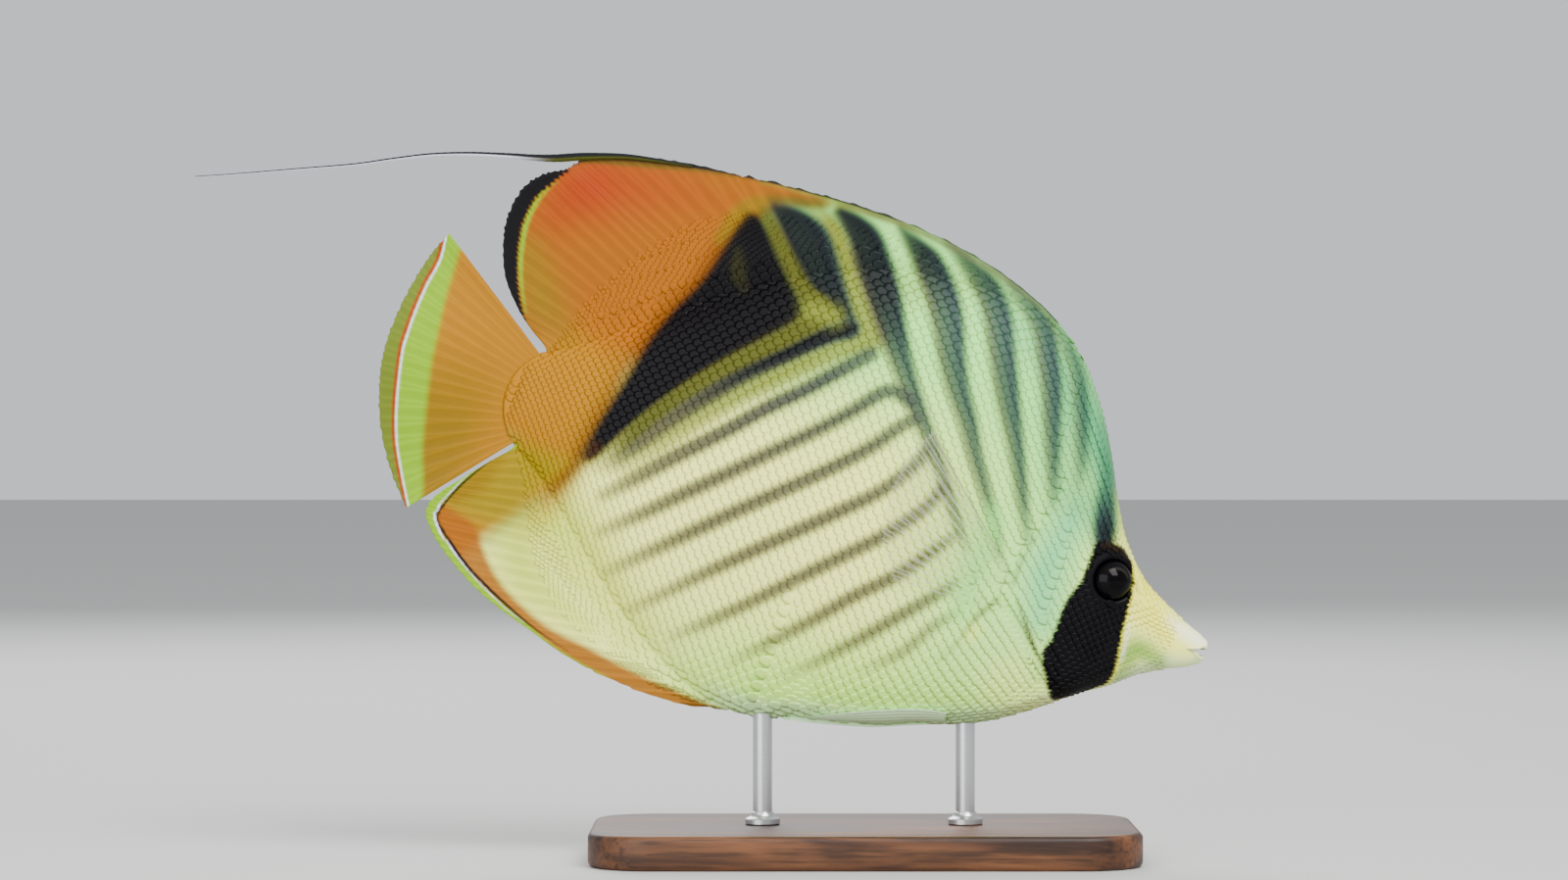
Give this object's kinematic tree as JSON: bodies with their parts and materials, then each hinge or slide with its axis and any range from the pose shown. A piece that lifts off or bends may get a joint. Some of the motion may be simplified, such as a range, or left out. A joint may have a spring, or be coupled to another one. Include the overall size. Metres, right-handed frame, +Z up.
{
  "type": "threadfin butterflyfish model",
  "caption": "Life-size still model of a threadfin butterflyfish swimming head down, on a plain base with two rods.",
  "frame": {"origin": "centre of the base's flat underside, where the stand rests", "axes": "+X towards the fish's head along the base's long side, +Y towards the fish's left side, +Z up"},
  "size_m": [0.2087, 0.062, 0.1452],
  "materials": {
    "skin": "pearly cream skin under fine scales, with dusky chevron stripes, a black blotch and a black eye bar",
    "tail_skin": "orange-yellow scaled skin",
    "dorsal_fin": "scaled fin in the body's stripes in front and orange behind, with a black rear margin",
    "thread": "dark slate fin ray, paler beneath",
    "anal_fin": "cream and ochre fin with an orange band, a thin black line and a yellow edge",
    "tail_fin": "orange-yellow fin with a lime-yellow band, a pale line and a clear brownish rim",
    "paired_fins": "clear membrane with fine pale rays",
    "pelvic_fins": "white fin with a stout spine",
    "eye": "glossy black eye with a dark brown iris ring",
    "stand_wood": "dark walnut, satin lacquer",
    "stand_steel": "brushed"
  },
  "bodies": {
    "root": {"head": "skin", "trunk": "skin", "tail_root": "tail_skin", "gill_cover_left": "skin", "gill_cover_right": "skin", "eye_left": "eye", "eye_right": "eye", "dorsal_fin": "dorsal_fin", "dorsal_thread": "thread", "anal_fin": "anal_fin", "tail_fin": "tail_fin", "pectoral_fin_left": "paired_fins", "pectoral_fin_right": "paired_fins", "pelvic_fin_left": "pelvic_fins", "pelvic_fin_right": "pelvic_fins", "stand_base": "stand_wood", "stand_rod_front": "stand_steel", "stand_rod_rear": "stand_steel"}
  },
  "joints": []
}
